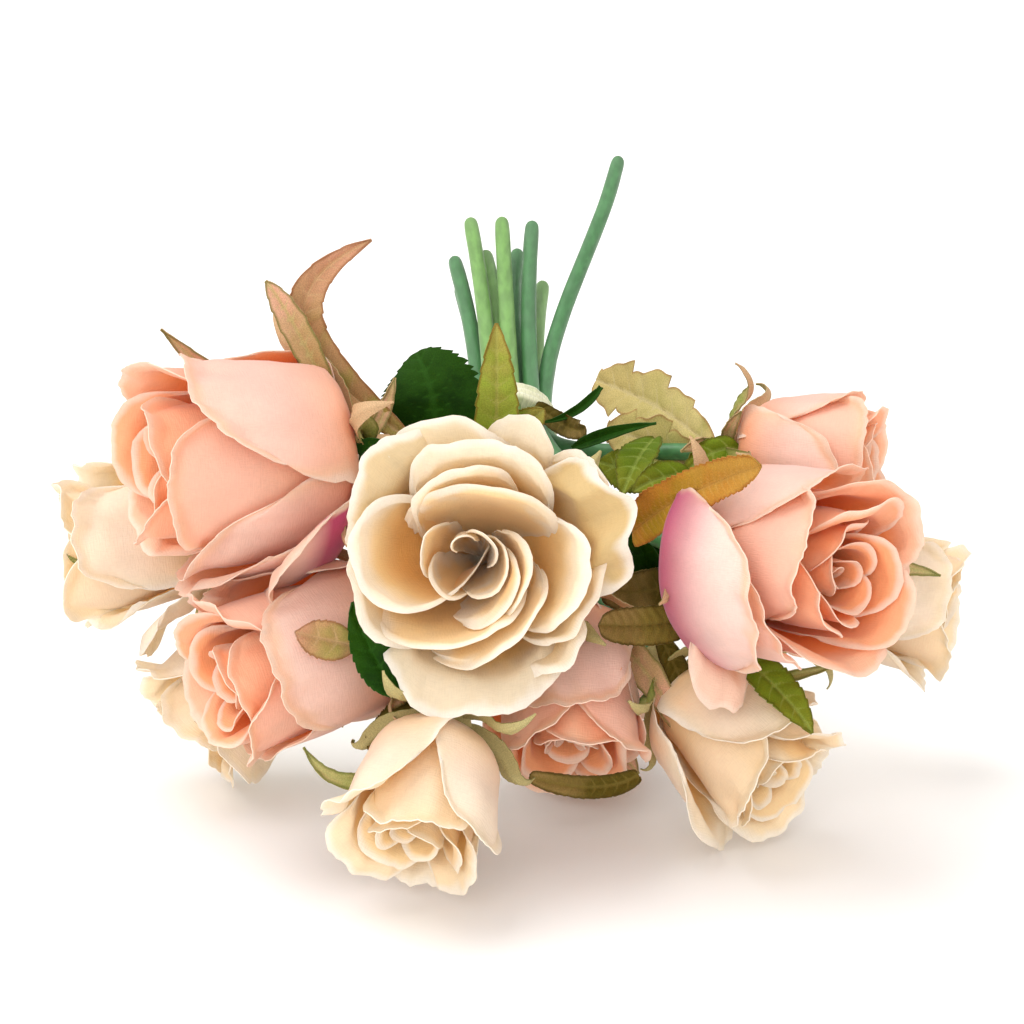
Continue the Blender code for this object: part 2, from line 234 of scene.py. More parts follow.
def waves(x, y, size, rng, count=5):
    """Crossing waves about size across at random, between -1 and 1: the cloth's own unevenness."""
    total = 0
    for _ in range(count):
        way = rng.uniform(0, 2 * pi)
        length = size * rng.uniform(0.6, 1.6)
        total = total + np.sin(2 * pi * (x * cos(way) + y * sin(way)) / length + rng.uniform(0, 2 * pi))
    return total / count


def petal_cloth(petal, radius, height, bowl_share, rng):
    """The petal as a grid of points in mm round the bloom's axis (right, up and along the axis), with
    for each point how far up the petal it is, from 0 to 1, its distance from the cut edge, in mm, and
    its place on the flat cloth, in mm."""
    size = radius / USUAL_RADIUS
    half_wrap = radians(petal.wrap)
    columns = 2 * int(np.clip(half_wrap * petal.reach * radius / CLOTH_STEP, *HALF_COLUMNS)) + 1
    across = np.linspace(-1, 1, columns)
    across = (0.7 * across + 0.3 * np.sin(across * pi / 2))[None, :]
    top, lip = petal.top * height, petal.lip * size
    bowl = min(bowl_share * height * (0.4 + 0.6 * petal.reach), 0.6 * top)
    lean, roll = radians(petal.lean), radians(petal.roll)
    lip_rise = lip * (sin(min(lean + roll, pi / 2)) - sin(lean)) / roll
    side = (top - bowl - lip_rise) / cos(lean)
    belly = max(petal.reach * radius - side * sin(lean), 0.35 * petal.reach * radius)
    bowl_run = pi / 2 * sqrt((belly**2 + bowl**2) / 2)
    run = bowl_run + side + lip
    mouth = petal.reach * radius
    lip_row = 1 - min(1.7 * lip / run, 0.5)
    lower_rows = np.linspace(FOOT_ROW, lip_row, PETAL_ROWS, endpoint=False)
    upward = np.concatenate([lower_rows, np.linspace(lip_row, 1, LIP_ROWS)])[:, None]

    # The cut outline: the cloth is longest in the middle, and its corners are well rounded off.
    cloth_width = across * half_wrap * mouth
    ragged = 0.8 * waves(cloth_width, 0, 7, rng) + 0.4 * waves(cloth_width, 0, 2.4, rng)
    drop = CORNER_DROP * np.abs(across) ** 3.2 * min(1, 1.2 * half_wrap * mouth / run + 0.25)
    length = run * (1 - drop) + ragged * (0.3 + petal.ruffle / 2)
    cloth_up = upward * length
    claw = FOOT_WIDTH + (1 - FOOT_WIDTH) * smooth_step(upward / 0.5)
    corner = 1 - TOP_NARROWING * smooth_step((upward - 0.6) / 0.4) ** 2
    wrap = half_wrap * claw * corner
    wrap = wrap + 0.5 * waves(upward * run, 3, 6, rng) / max(belly, 4)

    # Up the petal: round the bowl, then up the side, then over the lip.
    part = np.clip(cloth_up / bowl_run, 0, 1) * pi / 2
    ring = belly * np.sin(part)
    rise = bowl * (1 - np.cos(part))
    past = np.maximum(cloth_up - bowl_run, 0)
    lip_here = lip * (1 + 0.55 * waves(cloth_width, 0, 20 * size, rng, 3))
    lip_start = length - bowl_run - lip_here
    skew = rng.uniform(-0.25, 0.25)
    roll_here = roll * (1 + skew * across + 0.2 * waves(cloth_width, 0, 24, rng, 3))
    roll_here = roll_here * (1 - 0.75 * np.abs(across) ** 4)
    over = np.clip((past - lip_start) / lip_here, 0, 1)
    barrel = BARREL * np.cos(pi * np.clip(past / np.maximum(lip_start, 1), 0, 1))
    angle = lean + barrel * (1 - over) + roll_here * (0.25 * over + 0.75 * smooth_step(over / 0.4))
    step = np.diff(past, axis=0, prepend=past[:1])
    mid_angle = (angle + np.roll(angle, 1, axis=0)) / 2
    out = np.cumsum(np.sin(mid_angle) * step, axis=0)
    rise = rise + np.cumsum(np.cos(mid_angle) * step, axis=0)

    # Across the petal: round the axis, with both side edges turned out a little.
    middle = columns // 2
    ring_mid = ring[:, middle:middle + 1]
    edge = np.clip((np.abs(across) - EDGE_START) / (1 - EDGE_START), 0, 1) ** 1.5
    edge_turn = EDGE_TURN * edge * smooth_step(upward / 0.5) * (1 - smooth_step((upward - 0.6) / 0.3))
    heading = across * wrap - np.sign(across) * edge_turn
    stride = np.diff(across * wrap, axis=1, prepend=(across * wrap)[:, :1]) * ring_mid
    mid_heading = (heading + np.roll(heading, 1, axis=1)) / 2
    sideways = np.cumsum(np.cos(mid_heading) * stride, axis=1)
    inward = np.cumsum(np.sin(mid_heading) * stride, axis=1)
    sideways = sideways - sideways[:, middle:middle + 1]
    inward = inward - inward[:, middle:middle + 1]

    # The cloth's own unevenness: pulled edges, ruffles, soft dents and fine creases along the petal.
    cloth_across = across * wrap * (ring_mid + out[:, middle:middle + 1])
    higher = smooth_step(upward / 0.6)
    out = out + (petal.swirl * across + petal.open * across**2) * size * higher
    ruffle = petal.ruffle * size * smooth_step((upward - 0.45) / 0.5)
    out = out + ruffle * waves(cloth_across, cloth_up * 0.4, 16 * size, rng)
    out = out + 0.30 * size * waves(cloth_across, cloth_up, 10, rng) * higher
    creased = smooth_step((upward - 0.4) / 0.5) * (0.4 + np.abs(across))
    out = out + 0.22 * size * waves(cloth_across, cloth_up * 0.25, 5.0, rng) * creased
    radial = ring - inward + out * np.cos(heading)
    tangent = sideways + out * np.sin(heading)

    turn = radians(petal.turn)
    points = np.stack([
        radial * sin(turn) + tangent * cos(turn),
        radial * cos(turn) - tangent * sin(turn),
        rise + 0 * radial,
    ], axis=2)
    from_edge = np.minimum(length - cloth_up, (1 - np.abs(across)) * np.abs(wrap) * ring_mid)
    marks = {
        "rise": cloth_up / run,
        "below": (lip_start + bowl_run - cloth_up) / size,
        "from_edge": from_edge,
        "cloth_x": cloth_across + 0 * cloth_up,
        "cloth_y": cloth_up + 0 * cloth_across,
    }
    return points, marks


def new_pile():
    """Sheets of cloth laid together to become one piece."""
    return {"points": [], "faces": [], "marks": {}, "count": 0}


def add_sheet(pile, points, thickness, marks):
    """Adds a grid of points in mm to the pile as a closed sheet of this thickness, nowhere lower than
    the table. Its front looks the way that its rows and columns turn to."""
    points[:, :, 2] = np.maximum(points[:, :, 2], thickness)
    rows, columns = points.shape[:2]
    normal = np.cross(np.gradient(points, axis=1), np.gradient(points, axis=0))
    normal /= np.maximum(np.linalg.norm(normal, axis=2, keepdims=True), 1e-12)
    front = points + normal * thickness / 2
    back = points - normal * thickness / 2
    number = np.arange(rows * columns).reshape(rows, columns)
    quads = np.stack([number[:-1, :-1], number[:-1, 1:], number[1:, 1:], number[1:, :-1]], axis=2)
    quads = quads.reshape(-1, 4)
    border = np.concatenate([number[0, :-1], number[:-1, -1], number[-1, :0:-1], number[:0:-1, 0]])
    after = np.roll(border, -1)
    total = rows * columns
    edge = np.stack([after, border, border + total, after + total], axis=1)
    faces = np.concatenate([quads, quads[:, ::-1] + total, edge]) + pile["count"]
    pile["points"].append(np.concatenate([front.reshape(-1, 3), back.reshape(-1, 3)]))
    pile["faces"].append(faces)
    pile["count"] += 2 * total
    marks = dict(marks, front=np.ones((rows, columns)))
    for name, values in marks.items():
        values = np.broadcast_to(values, (rows, columns)).reshape(-1)
        other = values * 0 if name == "front" else values
        pile["marks"].setdefault(name, []).append(np.concatenate([values, other]))


def sheet_piece(name, pile, material, replaced):
    """The pile as a piece of the object, in place of its plain solid."""
    mesh = bpy.data.meshes.new(name)
    points = np.concatenate(pile["points"]) * MM
    mesh.from_pydata(points.tolist(), [], np.concatenate(pile["faces"]).tolist())
    marks = {mark: np.concatenate(values).astype(np.float32) for mark, values in pile["marks"].items()}
    corners = np.empty(len(mesh.loops), np.int32)
    mesh.loops.foreach_get("vertex_index", corners)
    flat = np.stack([marks.pop("cloth_x")[corners], marks.pop("cloth_y")[corners]], axis=1)
    mesh.uv_layers.new(name="flat_cloth").data.foreach_set("uv", flat.ravel())
    for mark, values in marks.items():
        mesh.attributes.new(mark, "FLOAT", "POINT").data.foreach_set("value", values)
    mesh.shade_smooth()
    mesh.set_sharp_from_angle(angle=radians(CUT_ANGLE))
    piece = bpy.data.objects.new(name, mesh)
    bpy.context.scene.collection.objects.link(piece)
    mesh.materials.append(material)
    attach(piece, "root")
    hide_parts(*replaced)


def node_points(name):
    """A CAD node's corners, each once, in mm."""
    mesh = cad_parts[name].data
    corners = np.empty(len(mesh.vertices) * 3, np.float32)
    mesh.vertices.foreach_get("co", corners)
    return np.unique(corners.reshape(-1, 3).round(6), axis=0) / MM


def bloom_seat(rose):
    """Where a bloom sits: its foot, its right, up and forward ways, and its radius and height in mm."""
    cup = node_points(rose + "_outer_petals")
    forward = cup.mean(0) - node_points(rose + "_calyx").mean(0)
    forward /= np.linalg.norm(forward)
    along = (cup - cup.mean(0)) @ forward
    foot = cup.mean(0) + forward * along.min()
    off_axis = (cup - foot) - np.outer((cup - foot) @ forward, forward)
    up = np.array([0, 0, 1]) - forward * forward[2]
    up /= np.linalg.norm(up)
    right = np.cross(up, forward)
    radius = np.linalg.norm(off_axis, axis=1).max()
    return foot, np.stack([right, up, forward]), radius, np.ptp(along)


def cloth_mark(tree, name):
    """The number that the cloth's points carry under this name."""
    return add_node(tree, "Attribute", attribute_name=name).outputs["Fac"]


def cloth_noise(tree, scales, detail):
    """Noise that follows the flat cloth, so many lumps per mm across it and along it."""
    flat = add_node(tree, "UVMap", uv_map="flat_cloth").outputs[0]
    return stretched_noise(tree, flat, (*scales, 1), detail)


def shaded(tree, colour, value):
    """The colour, made lighter or darker by value."""
    return add_node(tree, "HueSaturation", {"Color": colour, "Value": value}).outputs[0]


def petal_material(name, deep, middle, pale, outside, rim, edge, stain, stain_fade):
    """Dyed silk cloth: a deep foot, a paler lip, a tinted rim and a light cut edge, with fine ribs. The
    deep foot, the warmer lower outer face and the warm heart are partly painted warm light and shade.
    """
    material, tree, shader = new_material(name)
    place = add_node(tree, "NewGeometry").outputs["Position"]
    mottle = noise(tree, place, 110.0, 1.0)
    rise = cloth_mark(tree, "rise")
    heart = cloth_mark(tree, "heart")
    border = calculated(tree, "MULTIPLY", cloth_mark(tree, "from_edge"), mottle)

    # The inner face goes from deep to middle, between 22 and 6 mm below the lip, and to pale at the lip;
    # the outer face goes from middle to pale, with a tinted rim. On the inner face this is partly dye and
    # partly painted warm light and shade: the deeper, warmer colour down in the cup stands in for the
    # light that bounces in its hollows.
    below = cloth_mark(tree, "below")
    inside = mix_colours(tree, fade(tree, below, 22, 6), deep, middle)
    lip_edge = calculated(tree, "ADD", below, fade(tree, mottle, 0.3, 0.7, -1.5, 1.5))
    inside = mix_colours(tree, fade(tree, lip_edge, 11.0, 0.0), inside, pale)
    # Painted warm light and shade, partly dye: at the heart both faces take the middle colour, standing in
    # for the warm light that bounces among its petals.
    inside = mix_colours(tree, heart, inside, middle)
    # Painted warm shade, partly dye: the outer face is warmer low on the petal, where its folds lie in
    # shade.
    back = mix_colours(tree, fade(tree, rise, 0.10, 0.75), middle, outside)
    back = mix_colours(tree, heart, back, middle)
    back = mix_colours(tree, fade(tree, border, 3.2, 0.6, 0.0, 0.85), back, rim)
    colour = mix_colours(tree, cloth_mark(tree, "front"), back, inside)

    # The stain soaks up from the foot and stops short of the edge, which keeps its light cut threads.
    dyed = calculated(tree, "MULTIPLY", fade(tree, rise, *stain_fade), cloth_mark(tree, "stained"))
    dyed = calculated(tree, "MULTIPLY", dyed, fade(tree, border, 0.4, 1.8))
    colour = mix_colours(tree, dyed, colour, stain)
    colour = mix_colours(tree, fade(tree, border, 1.3, 0.2, 0.0, 0.85), colour, edge)

    # The weave: threads along the petal and finer ones across it.
    threads = cloth_noise(tree, (0.45, 2.6), 0.0)
    weave = calculated(tree, "ADD", threads, cloth_noise(tree, (3.2, 0.5), 0.0))
    weave_shade = fade(tree, weave, 0.7, 1.3, 0.97, 1.02)
    value = calculated(tree, "MULTIPLY", fade(tree, mottle, 0.25, 0.75, 0.96, 1.03), weave_shade)
    colour = shaded(tree, colour, value)
    normal = add_finish(tree, shader, colour, weave, 0.35, 0.2)
    shader.inputs["Roughness"].default_value = 0.55
    shader.inputs["Specular IOR Level"].default_value = 0.35
    shader.inputs["Sheen Weight"].default_value = 0.35
    shader.inputs["Sheen Roughness"].default_value = 0.4

    # Light comes through the thin cloth, warmer than it went in.
    through = mix_colours(tree, 0.55, colour, middle)
    glow = add_node(tree, "BsdfTranslucent", {"Color": through, "Normal": normal})
    cloth = add_node(tree, "MixShader", {0: 0.40, 1: shader.outputs[0], 2: glow.outputs[0]})
    output = tree.nodes["Material Output"]
    tree.links.new(cloth.outputs[0], output.inputs["Surface"])
    return material


# How much of the middle colour covers a whole petal, by its reach: most of the heart's, none of the outer.
# This is partly dye and partly painted warm light and shade at the heart.
HEART_DYE_AND_SHADE = ([0.5, 1.0], [0.85, 0.0])

# deep and middle are partly dye and partly painted warm light and shade for the cup's hollows.
petal_dyes = {
    "cream": petal_material(
        "cream_silk", deep=(1.00, 0.56, 0.17), middle=(1.00, 0.76, 0.40), pale=(0.98, 0.94, 0.84),
        outside=(0.98, 0.94, 0.86), rim=(0.96, 0.91, 0.75), edge=(0.98, 0.97, 0.92),
        stain=(0.74, 0.56, 0.24), stain_fade=(1.6, 1.2)),
    "blush": petal_material(
        "blush_silk", deep=(1.00, 0.28, 0.05), middle=(1.00, 0.48, 0.20), pale=(0.98, 0.77, 0.62),
        outside=(0.98, 0.85, 0.78), rim=(0.97, 0.74, 0.52), edge=(0.97, 0.88, 0.76),
        stain=(0.62, 0.10, 0.26), stain_fade=(0.80, 0.40)),
}


def whorled(whorls, turned, rng):
    """The petals of these whorls, turned so many degrees, each a little unlike the next."""
    petals = []
    for count, first, *shape in whorls:
        reach, top, wrap, lean, roll, lip, swirl, opened, ruffle = shape
        for i in range(count):
            petals.append(Petal(
                turn=turned + first + 360 * i / count + rng.uniform(-10, 10),
                reach=reach * rng.uniform(0.97, 1.03),
                top=top * rng.uniform(0.96, 1.02),
                wrap=wrap * rng.uniform(0.9, 1.1),
                lean=lean + rng.uniform(-1.5, 1.5),
                roll=roll * rng.uniform(0.7, 1.25),
                lip=lip * rng.uniform(0.8, 1.2),
                swirl=swirl,
                open=opened,
                ruffle=ruffle * rng.uniform(0.7, 1.3),
            ))
    return petals


def add_bloom(rose, petals, rng, heart_shift=(0, 0), size=1.0, bowl_share=0.34):
    """The cup and the bud of one rose. heart_shift is how far its heart lies from the middle, in mm, and
    bowl_share how deep its round bottom is, as a share of its height."""
    foot, ways, radius, height = bloom_seat(rose)
    radius, height = radius * size, height * size
    dye = rose.split("_")[-1]
    cup, bud = new_pile(), new_pile()
    for petal in petals:
        points, marks = petal_cloth(petal, radius, height, bowl_share, rng)
        marks["stained"] = petal.stain
        marks["heart"] = float(np.interp(petal.reach, *HEART_DYE_AND_SHADE))
        shift = max(0, 1 - petal.reach / 0.4)
        points[:, :, :2] += np.array(heart_shift) * shift * smooth_step(points[:, :, 2:] / height * 2)
        add_sheet(bud if petal.reach < BUD_REACH else cup, foot + points @ ways, CLOTH, marks)
    sheet_piece(rose + "_cup", cup, petal_dyes[dye], [rose + "_outer_petals"])
    sheet_piece(rose + "_bud", bud, petal_dyes[dye], [rose + "_inner_petals"])


add_bloom("front_cream", FULL_BLOOM, np.random.default_rng(100), heart_shift=(-5, 5), size=0.92)

# Each other rose: its whorls, how far these are turned round the stem, in degrees, its own seed, the
# size of its petals, the depth of its round bottom, and the odd petals that hang outside the rest.
Rose = namedtuple("Rose", "whorls turned seed size bowl_share odd_petals", defaults=(1.0, 0.34, ()))
BLOOMS = {
    "right_blush": Rose(BLUSH_CUP, 0, 1, 1.0, 0.16, [
        Petal(262, 1.07, 0.78, 62, 3, 30, 8, 0, 0, 1.6, 1.0),
        Petal(212, 1.15, 0.34, 30, 55, 40, 9, 0, 0, 2.0, 0.2),
    ]),
    "left_blush": Rose(BLUSH_CUP, 30, 2, 1.02, 0.16, [
        Petal(168, 1.04, 0.80, 48, 8, 40, 5, 0, 0, 1.6),
        Petal(138, 1.16, 0.54, 40, 18, 60, 7, 0, 0, 1.6, 2.4),
    ]),
    "low_left_blush": Rose(BLUSH_CUP, 60, 3, 1.08, 0.25),
    "centre_blush": Rose(BLUSH_CUP, 0, 4, 1.1),
    "back_right_blush": Rose(BLUSH_CUP, 20, 5, 0.92),
    "under_blush": Rose(BLUSH_CUP, 0, 6),
    "far_left_cream": Rose(CREAM_CUP, 0, 7, 1.0, 0.34, [
        Petal(150, 1.15, 0.55, 30, 30, 60, 10, 0, 0, 3.0),
    ]),
    "table_left_cream": Rose(CREAM_CUP, 40, 8),
    "bottom_left_cream": Rose(CREAM_CUP, 0, 9, 0.94),
    "bottom_right_cream": Rose(CREAM_CUP, 30, 10),
    "far_right_cream": Rose(CREAM_CUP, 0, 11),
}
for name, rose in BLOOMS.items():
    rng = np.random.default_rng(rose.seed)
    petals = whorled(rose.whorls, rose.turned, rng) + list(rose.odd_petals)
    add_bloom(name, petals, rng, size=rose.size, bowl_share=rose.bowl_share)


# ----------------------------------------------------------------------------
# The leaves. They are stamped from stiffened cloth, dyed from the midrib outwards, with toothed edges
# and pressed veins, and each is wired to a stem by its narrow stalk.
# ----------------------------------------------------------------------------
LEAF_CLOTH = 0.35            # thickness, mm
LEAF_ROUGHNESS = 0.6
LEAF_ROWS = 90
LEAF_COLUMNS = 15
STALK = 0.7                  # half the width of a leaf's stalk, mm
VEIN = 0.55                  # half the width of a pressed vein, mm

# How a leaf is cut and pressed: where it is widest, from 0 to 1; how blunt its ends are; its teeth, and
# their depth as a share of its width; the mm between its side veins; how far its edges stand up from the
# midrib, as a share of its width; and the depth of its waves and of its edges' ruffles, in mm.
Cut = namedtuple("Cut", "widest blunt teeth tooth vein_gap fold wave ruffle")


def blade(spine, looks, half_width, cut, rng, rows=LEAF_ROWS, columns=LEAF_COLUMNS):
    """A toothed blade along a spine, a function from 0 at its foot to 1 at its point, in mm. Gives its
    grid of points and their marks."""
    share = np.linspace(0, 1, rows)[:, None]
    across = np.linspace(-1, 1, columns)[None, :]
    middle = spine(share)
    along = np.gradient(middle, axis=0)
    run = np.concatenate([[0], np.cumsum(np.linalg.norm(np.diff(middle, axis=0), axis=1))])[:, None]
    along /= np.linalg.norm(along, axis=1, keepdims=True)
    sideways = np.cross(along, looks)
    sideways /= np.linalg.norm(sideways, axis=1, keepdims=True)
    front = np.cross(sideways, along)

    power = np.log(0.5) / np.log(cut.widest)
    outline = np.sin(pi * share**power) ** cut.blunt
    tooth = (share * cut.teeth + 0.15 * np.sin(share * 40)) % 1
    bite = 1 - cut.tooth * (tooth ** 1.5) * smooth_step(share * 2) * np.minimum(1, (1 - share) * 8 + 0.3)
    width = np.maximum(half_width * outline * bite, STALK * (1 - 0.6 * share))
    reach = across * width

    gap = cut.vein_gap
    place = (run - 0.55 * np.abs(reach) * (1 + 0.5 * np.abs(across))) / gap
    off_vein = np.abs((place + 0.5) % 1 - 0.5) * gap
    side_vein = np.exp(-((off_vein / VEIN) ** 2)) * (1 - 0.5 * np.abs(across))
    midrib = np.exp(-((reach / (1.4 * VEIN)) ** 2))
    vein = np.maximum(side_vein, midrib)
    bulge = 0.35 * np.sin(pi * np.minimum(off_vein / gap * 2, 1) / 2) * np.minimum(1, width / 3)
    lift = cut.fold * np.abs(reach) + bulge * (1 - midrib) - 0.3 * midrib
    lift = lift + cut.wave * waves(run + 0 * reach, reach, 26, rng, 3) * smooth_step(share * 4)
    lift = lift + cut.ruffle * np.abs(across) ** 3 * waves(run + 0 * reach, 9 * across, 9, rng, 3)
    points = middle[:, None] + sideways[:, None] * reach[..., None] + front[:, None] * lift[..., None]
    marks = {
        "rise": share + 0 * across,
        "from_edge": (1 - np.abs(across)) * width,
        "vein": vein,
        "cloth_x": reach + 0 * share,
        "cloth_y": run + 0 * across,
    }
    return points, marks


def leaf_material(name, main, patch, tip, vein, edge, back):
    """Stiffened dyed cloth: patchy along the leaf, another colour at the tip, in the veins and at the
    cut edge."""
    material, tree, shader = new_material(name)
    place = add_node(tree, "NewGeometry").outputs["Position"]
    mottle = noise(tree, place, 130.0, 3.0)
    patches = calculated(tree, "ADD", mottle, cloth_mark(tree, "tone"))
    colour = mix_colours(tree, fade(tree, patches, 0.38, 0.66), main, patch)
    toward_tip = calculated(tree, "ADD", cloth_mark(tree, "rise"), mottle)
    colour = mix_colours(tree, fade(tree, toward_tip, 0.85, 1.5), colour, tip)
    colour = mix_colours(tree, fade(tree, cloth_mark(tree, "vein"), 0.3, 0.95, 0.0, 0.65), colour, vein)
    colour = mix_colours(tree, fade(tree, cloth_mark(tree, "from_edge"), 0.9, 0.1, 0.0, 0.8), colour, edge)
    colour = mix_colours(tree, cloth_mark(tree, "front"), back, colour)
    threads = cloth_noise(tree, (3.0, 3.0), 2.0)
    colour = shaded(tree, colour, fade(tree, threads, 0.3, 0.7, 0.82, 1.12))
    add_finish(tree, shader, colour, threads, 0.4, 0.3)
    shader.inputs["Roughness"].default_value = LEAF_ROUGHNESS
    shader.inputs["Specular IOR Level"].default_value = 0.08
    return material


# The leaves' dyes, from nearly black green to the browns of dried leaves.
LEAF_COLOURS = {
    "dark": dict(
        main=(0.006, 0.030, 0.001), patch=(0.012, 0.055, 0.002), tip=(0.016, 0.060, 0.002),
        vein=(0.022, 0.085, 0.006), edge=(0.015, 0.060, 0.004), back=(0.035, 0.090, 0.025)),
    "olive": dict(
        main=(0.26, 0.35, 0.035), patch=(0.17, 0.27, 0.015), tip=(0.34, 0.30, 0.060),
        vein=(0.38, 0.36, 0.090), edge=(0.18, 0.10, 0.015), back=(0.28, 0.34, 0.080)),
    "green": dict(
        main=(0.15, 0.21, 0.012), patch=(0.10, 0.16, 0.006), tip=(0.18, 0.20, 0.015),
        vein=(0.28, 0.34, 0.070), edge=(0.10, 0.10, 0.010), back=(0.20, 0.26, 0.060)),
    "golden": dict(
        main=(0.46, 0.20, 0.028), patch=(0.36, 0.22, 0.016), tip=(0.48, 0.25, 0.045),
        vein=(0.54, 0.31, 0.075), edge=(0.36, 0.13, 0.025), back=(0.40, 0.23, 0.040)),
    "tan": dict(
        main=(0.51, 0.42, 0.17), patch=(0.42, 0.37, 0.12), tip=(0.48, 0.37, 0.14),
        vein=(0.52, 0.43, 0.22), edge=(0.36, 0.21, 0.08), back=(0.45, 0.32, 0.20)),
    "russet": dict(
        main=(0.50, 0.28, 0.13), patch=(0.36, 0.29, 0.08), tip=(0.56, 0.28, 0.17),
        vein=(0.60, 0.40, 0.21), edge=(0.28, 0.12, 0.05), back=(0.58, 0.38, 0.28)),
    "brown": dict(
        main=(0.19, 0.14, 0.025), patch=(0.085, 0.060, 0.006), tip=(0.25, 0.16, 0.050),
        vein=(0.17, 0.12, 0.025), edge=(0.06, 0.04, 0.006), back=(0.20, 0.14, 0.050)),
}
leaf_dyes = {dye: leaf_material(dye + "_leaf_cloth", **dyes) for dye, dyes in LEAF_COLOURS.items()}


def leaf_bed(node, way):
    """How the leaf lies that is wired there: its foot, its point, its bow and the way its front looks,
    and half its width, all in mm. way is roughly the way from its foot to its point."""
    corners = node_points(node)
    share = corners @ np.array(way)
    for _ in range(2):
        share = (share - share.min()) / np.ptp(share)
        terms = np.stack([share**0, share, share**2], axis=1)
        curve = np.linalg.lstsq(terms, corners, rcond=None)[0]
        off_spine = corners - terms @ curve
        run = curve[1] + 2 * share[:, None] * curve[2]
        share = share + (off_spine * run).sum(1) / (run * run).sum(1)
    foot, point, bow = curve[0], curve.sum(0), -curve[2] / 4
    across = np.linalg.svd(off_spine, full_matrices=False)[2][0]
    reach = np.abs(off_spine @ across)
    looks = np.cross(point - foot, across)
    looks /= np.linalg.norm(looks)
    if ((off_spine @ looks) * (reach - reach.mean())).sum() < 0:
        looks = -looks
    return foot, point, bow, looks, reach.max()


# A leaflet: how far its foot and its point lie from those of the moulded leaf, in mm; its width and its
# bow as shares of that leaf's; the way its front looks, if not as that one does; and its patchiness.
SAME_PLACE = (0, 0, 0)
Leaflet = namedtuple(
    "Leaflet", "foot point width bow looks tone", defaults=(SAME_PLACE, SAME_PLACE, 1, 1, None, 0))


def bowed_spine(first, last, bow):
    """A spine from first to last whose middle stands this far out."""
    def spine(share):
        return first + share * (last - first) + bow * 4 * share * (1 - share)

    return spine


def add_leaf(name, way, dye, cut, leaflets=(Leaflet(),), seed=0):
    """A leaf or a spray of leaflets where the moulded leaf lies."""
    foot, point, bow, looks, half_width = leaf_bed(name, way)
    rng = np.random.default_rng(seed)
    pile = new_pile()
    for leaflet in leaflets:
        spine = bowed_spine(foot + leaflet.foot, point + leaflet.point, bow * leaflet.bow)
        front = looks if leaflet.looks is None else np.array(leaflet.looks)
        points, marks = blade(spine, front, half_width * leaflet.width, cut, rng)
        marks["tone"] = leaflet.tone
        add_sheet(pile, points, LEAF_CLOTH, marks)
    sheet_piece(name.removesuffix("_leaf") + "_blade", pile, leaf_dyes[dye], [name])


ROUND_LEAF = Cut(0.45, 0.62, 16, 0.13, 4.0, 0.10, 1.2, 0.5)
LONG_LEAF = Cut(0.48, 0.70, 12, 0.10, 4.5, 0.25, 1.0, 0.8)
SPEAR_LEAF = Cut(0.35, 0.80, 0, 0.0, 5.0, 0.45, 0.3, 0.2)
RIBBED_LEAF = Cut(0.36, 0.24, 26, 0.12, 2.4, 0.35, 1.0, 0.9)
BLUNT_LEAF = Cut(0.50, 0.22, 14, 0.06, 3.0, 0.20, 1.0, 0.6)
LOBED_LEAF = Cut(0.62, 0.42, 4, 0.42, 6.0, 0.15, 1.5, 0.8)
CURLED_LEAF = Cut(0.40, 0.65, 9, 0.08, 5.0, 0.35, 0.5, 0.4)

add_leaf("top_dark_leaf", (-0.25, 0.3, 0.92), "dark", ROUND_LEAF, seed=1)
add_leaf("left_dark_leaf", (-1, 0, -0.4), "dark", LONG_LEAF, [
    Leaflet((-10.1, -32.9, 12.8), (-1.7, -12.9, 10.9), 1.3, 0.5, (0.1, -0.9, 0.4)),
], 2)
add_leaf("low_dark_leaf", (-1, -0.6, 0), "dark", LONG_LEAF, [
    Leaflet((-11.1, -21.6, 2.6), (-3.5, 0.1, 18.3), 0.85, 0.6, (0.2, -0.9, 0.2)),
], 3)
add_leaf("top_olive_leaf", (0, 0, 1), "olive", LONG_LEAF, [
    Leaflet(width=0.95),
    Leaflet((1.4, 3.3, 18.8), (12.9, 3.0, -25.0), 0.75, 0, tone=1),
], 4)
add_leaf("right_green_leaf", (-0.1, -1, 0), "green", LONG_LEAF, [
    Leaflet((12.0, -24.4, 1.6), (0.9, 1.1, 2.4), 0.7, 0.5, (0.1, -0.8, 0.6)),
    Leaflet((26.1, -14.4, 5.3), (14.7, 15.1, 2.4), 0.6, 1, (0.1, -0.8, 0.6)),
    Leaflet((3.1, -4.4, 5.7), (-1.7, 7.1, -0.4), 0.85, 1, (-0.4, -0.8, 0.5), tone=1),
    Leaflet((4.1, -13.4, -5.2), (-7.5, 27.1, 2.6), 1.0, 0.2, (0, -0.8, 0.5), tone=1),
], 5)
add_leaf("low_right_leaf", (0.6, -0.7, 0), "green", LONG_LEAF, [
    Leaflet((26.0, -31.4, 4.5), (-0.9, 5.0, -3.5), 0.75, 0.2, (-0.1, -0.6, 0.8)),
], 6)
add_leaf("slim_dark_leaf", (0.6, -0.5, 0.5), "dark", SPEAR_LEAF, [
    Leaflet((-2.0, -3.0, 6.6), (0.4, 2.9, -1.0), 0.6, 0.3, (0.2, -0.9, 0.5)),
    Leaflet((6.9, 31.0, 14.5), (-30.0, 35.0, -10.0), 0.45, -0.9, (0, -0.8, 0.5)),
    Leaflet((24.4, -15.0, -36.7), (-6.0, -5.0, -26.1), 1.5, 1, (-0.2, -0.9, 0.2)),
    Leaflet((33.0, -10.0, -11.8), (-6.5, 3.0, -39.6), 1.5, -1, (-0.2, -0.9, 0.4)),
], 7)
